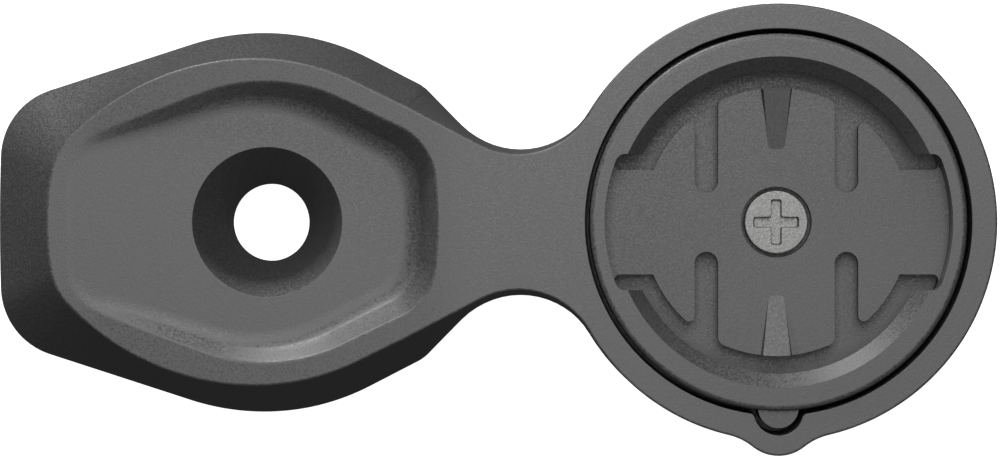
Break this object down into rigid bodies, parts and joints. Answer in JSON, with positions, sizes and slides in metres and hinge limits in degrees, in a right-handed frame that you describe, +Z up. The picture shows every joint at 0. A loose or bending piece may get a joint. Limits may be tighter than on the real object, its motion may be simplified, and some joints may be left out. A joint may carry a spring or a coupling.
{
  "type": "cycling computer mount",
  "caption": "Drafted six-sided cap plate with a countersunk bolt hole, a waisted neck and a round ring holding a quarter-turn socket with sprung detents.",
  "frame": {"origin": "on the bolt hole's axis, at the cap plate's flat base", "axes": "+Z up along the bolt hole's axis, +X from the bolt hole towards the ring's centre"},
  "size_m": [0.09, 0.0403, 0.0135],
  "materials": {
    "arm_plastic": "fine blasted grain, dark grey",
    "insert_plastic": "fine blasted grain, dark grey",
    "screw_steel": "satin, bare",
    "bush_brass": "turned and knurled"
  },
  "bodies": {
    "root": {"mount_arm": "arm_plastic", "socket_insert": "insert_plastic", "insert_screw": "screw_steel", "threaded_bush": "bush_brass"},
    "upper_finger": {"upper_spring_finger": "insert_plastic"},
    "lower_finger": {"lower_spring_finger": "insert_plastic"}
  },
  "joints": [
    {"name": "upper_finger_flex", "type": "hinge", "parent": "root", "child": "upper_finger", "pos_m": [0.04556, 0.0049, 0.00895], "axis": [-1, 0, 0], "range_deg": [0, 5], "stiffness_Nm_per_rad": 0.4},
    {"name": "lower_finger_flex", "type": "hinge", "parent": "root", "child": "lower_finger", "pos_m": [0.04556, -0.0049, 0.00895], "axis": [1, 0, 0], "range_deg": [0, 5], "stiffness_Nm_per_rad": 0.4}
  ]
}
